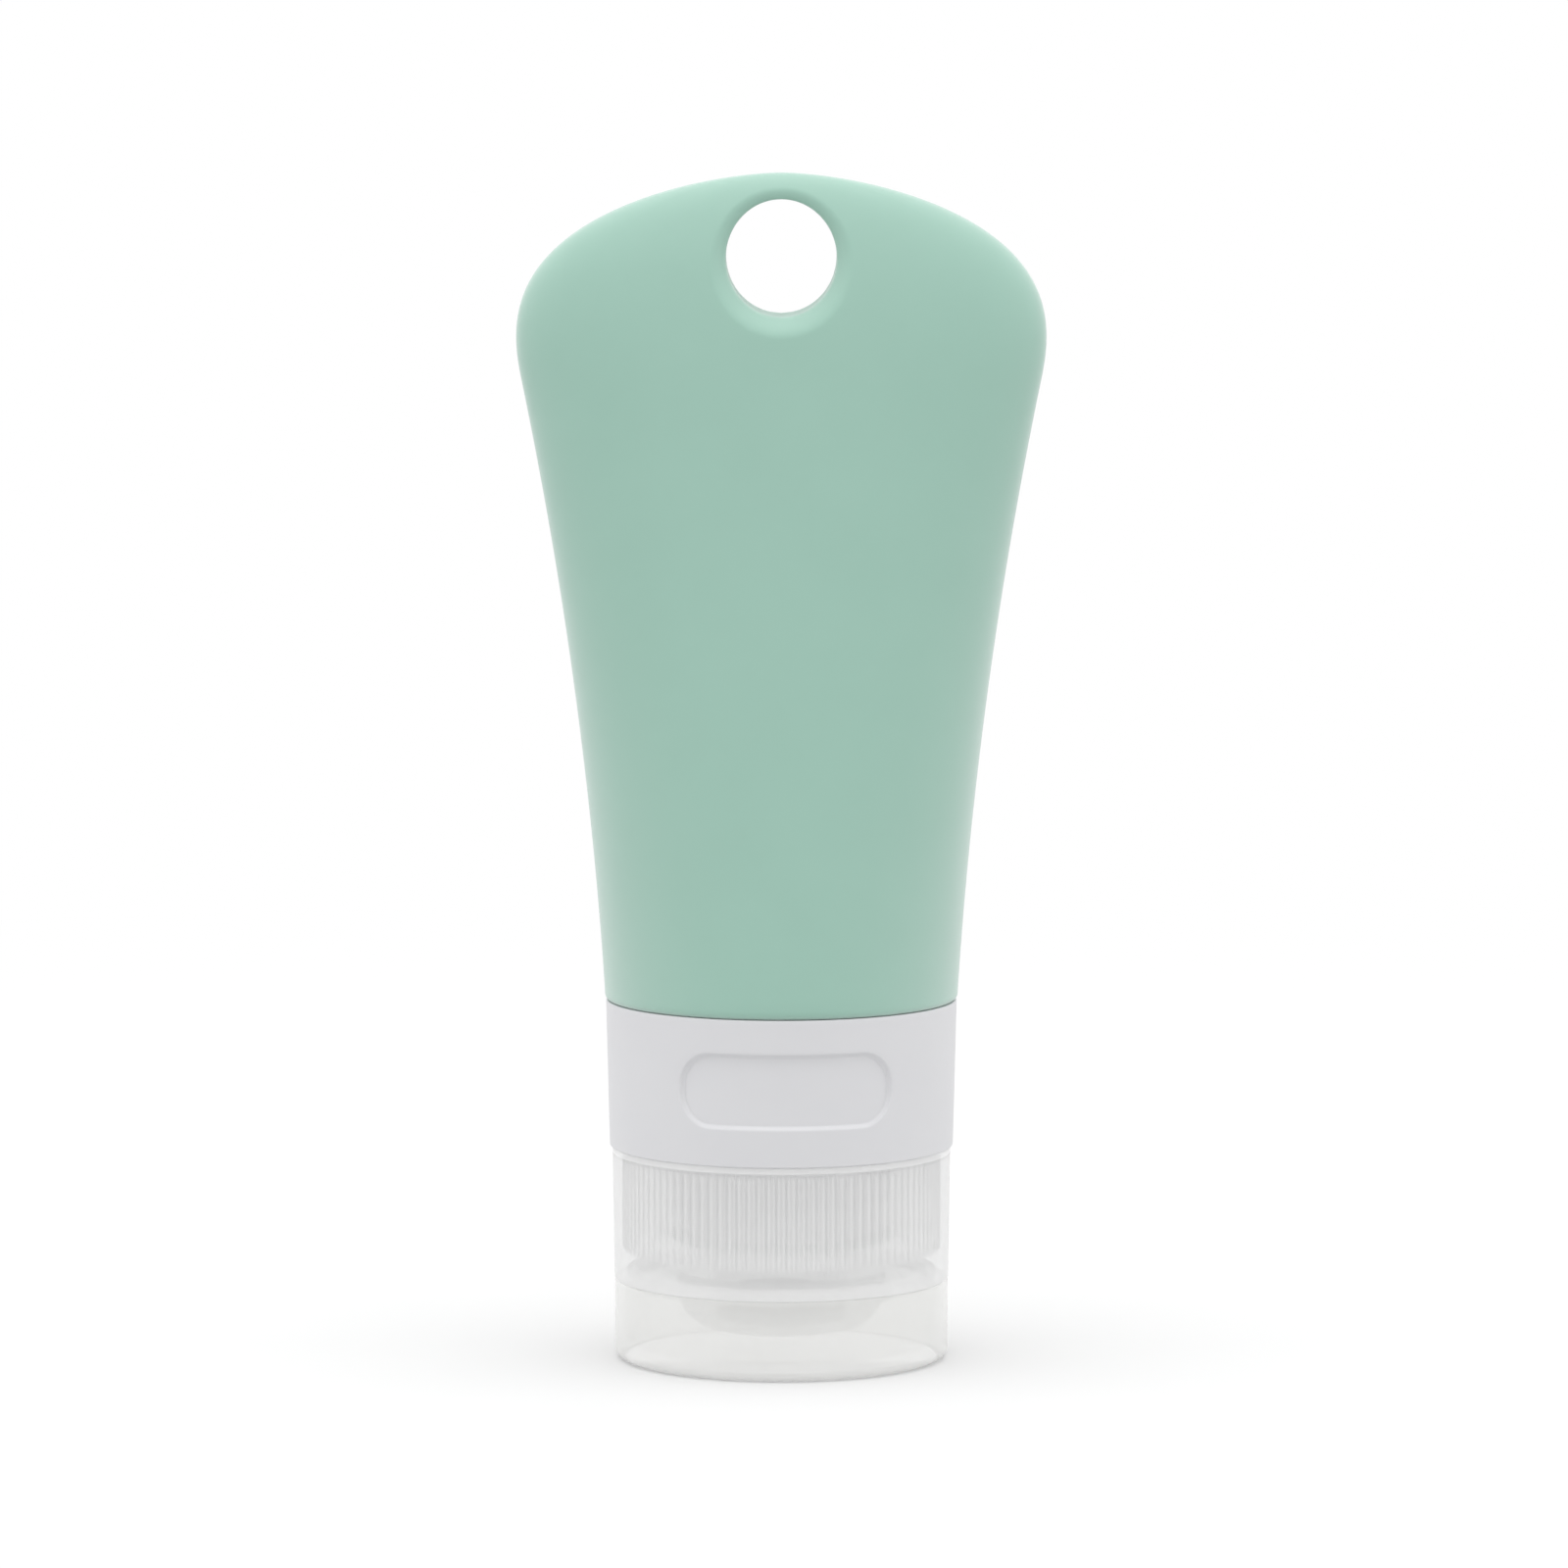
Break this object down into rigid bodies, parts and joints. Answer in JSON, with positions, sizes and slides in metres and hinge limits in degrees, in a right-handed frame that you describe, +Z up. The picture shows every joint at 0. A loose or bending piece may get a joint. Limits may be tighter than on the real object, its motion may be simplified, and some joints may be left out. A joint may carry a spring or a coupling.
{
  "type": "travel squeeze bottle",
  "caption": "Soft silicone squeeze bottle that stands on its flip-top screw cap, with a turning window collar and a flattened tail with a hanging hole.",
  "frame": {"origin": "centre of the lid's flat outer face, which the bottle stands on", "axes": "+Z up from the lid to the hanging hole, X across the flattened tail, -Y the front with the collar's window, +Y the hinge side"},
  "size_m": [0.0624, 0.0418, 0.1403],
  "materials": {
    "mint_silicone": "soft matte silicone",
    "white_plastic": "satin",
    "frosted_plastic": "frosted translucent",
    "clear_silicone": "translucent silicone",
    "clear_plastic": "lightly frosted, nearly clear"
  },
  "bodies": {
    "bottle": {"squeeze_body": "mint_silicone", "neck_insert": "white_plastic", "label_ring": "white_plastic"},
    "collar": {"collar": "white_plastic"},
    "cap_seal": {"cap_gasket": "mint_silicone"},
    "cap": {"cap_body": "frosted_plastic", "slit_valve": "clear_silicone", "valve_retainer": "frosted_plastic"},
    "lid": {"flip_lid": "clear_plastic"}
  },
  "joints": [
    {"name": "collar_turn", "type": "hinge", "parent": "bottle", "child": "collar", "pos_m": [0, 0, 0.03], "axis": [0, 0, 1], "continuous": true},
    {"name": "cap_lift", "type": "slide", "parent": "bottle", "child": "cap_seal", "axis": [0, 0, -1], "range_m": [0, 0.00926]},
    {"name": "cap_twist", "type": "hinge", "parent": "cap_seal", "child": "cap", "pos_m": [0, 0, 0.017], "axis": [0, 0, -1], "range_deg": [0, 1332]},
    {"name": "lid_flip", "type": "hinge", "parent": "cap", "child": "lid", "pos_m": [0, 0.0197, 0.00956], "axis": [1, 0, 0], "range_deg": [0, 135]}
  ],
  "couplings": [
    {"joint": "cap_lift", "follows": "cap_twist", "m_per_rad": 0.00039789}
  ]
}
